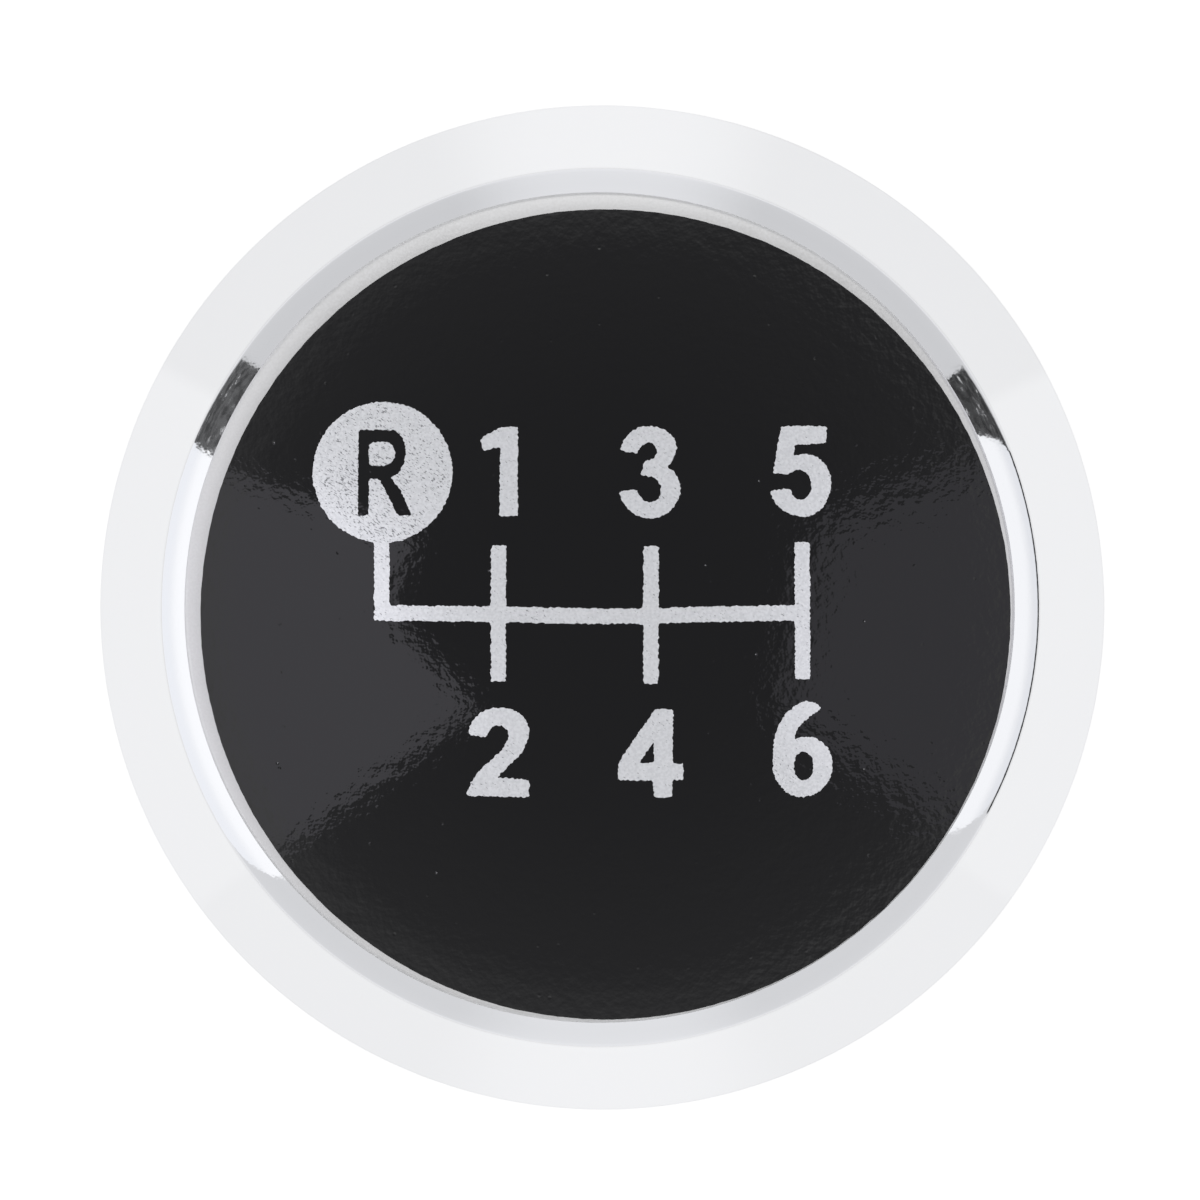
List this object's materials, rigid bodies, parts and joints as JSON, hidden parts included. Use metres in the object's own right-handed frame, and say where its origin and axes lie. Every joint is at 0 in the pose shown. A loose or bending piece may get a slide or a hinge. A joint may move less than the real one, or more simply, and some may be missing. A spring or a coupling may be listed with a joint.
{
  "type": "gear shift knob cap",
  "caption": "Round domed cap that presses into the top of a gear shift knob: plated rim with sloping skirt and snap legs, black printed badge disc with a shift pattern.",
  "frame": {"origin": "centre of the flat ring under the rim, on the cap's axis, level with the knob's top", "axes": "+Z out of the domed face along the cap's axis, +Y towards the top of the shift pattern, +X to its right"},
  "size_m": [0.036, 0.036, 0.0137],
  "materials": {
    "plated_body": "bright plated, mirror smooth",
    "badge_metal": "satin, printed",
    "black_lacquer": "gloss with slight orange peel",
    "silver_print": "satin grained",
    "adhesive": "matte foam"
  },
  "bodies": {
    "root": {"cap_body": "plated_body", "badge_disc": "badge_metal", "adhesive_pad": "adhesive"}
  },
  "joints": []
}
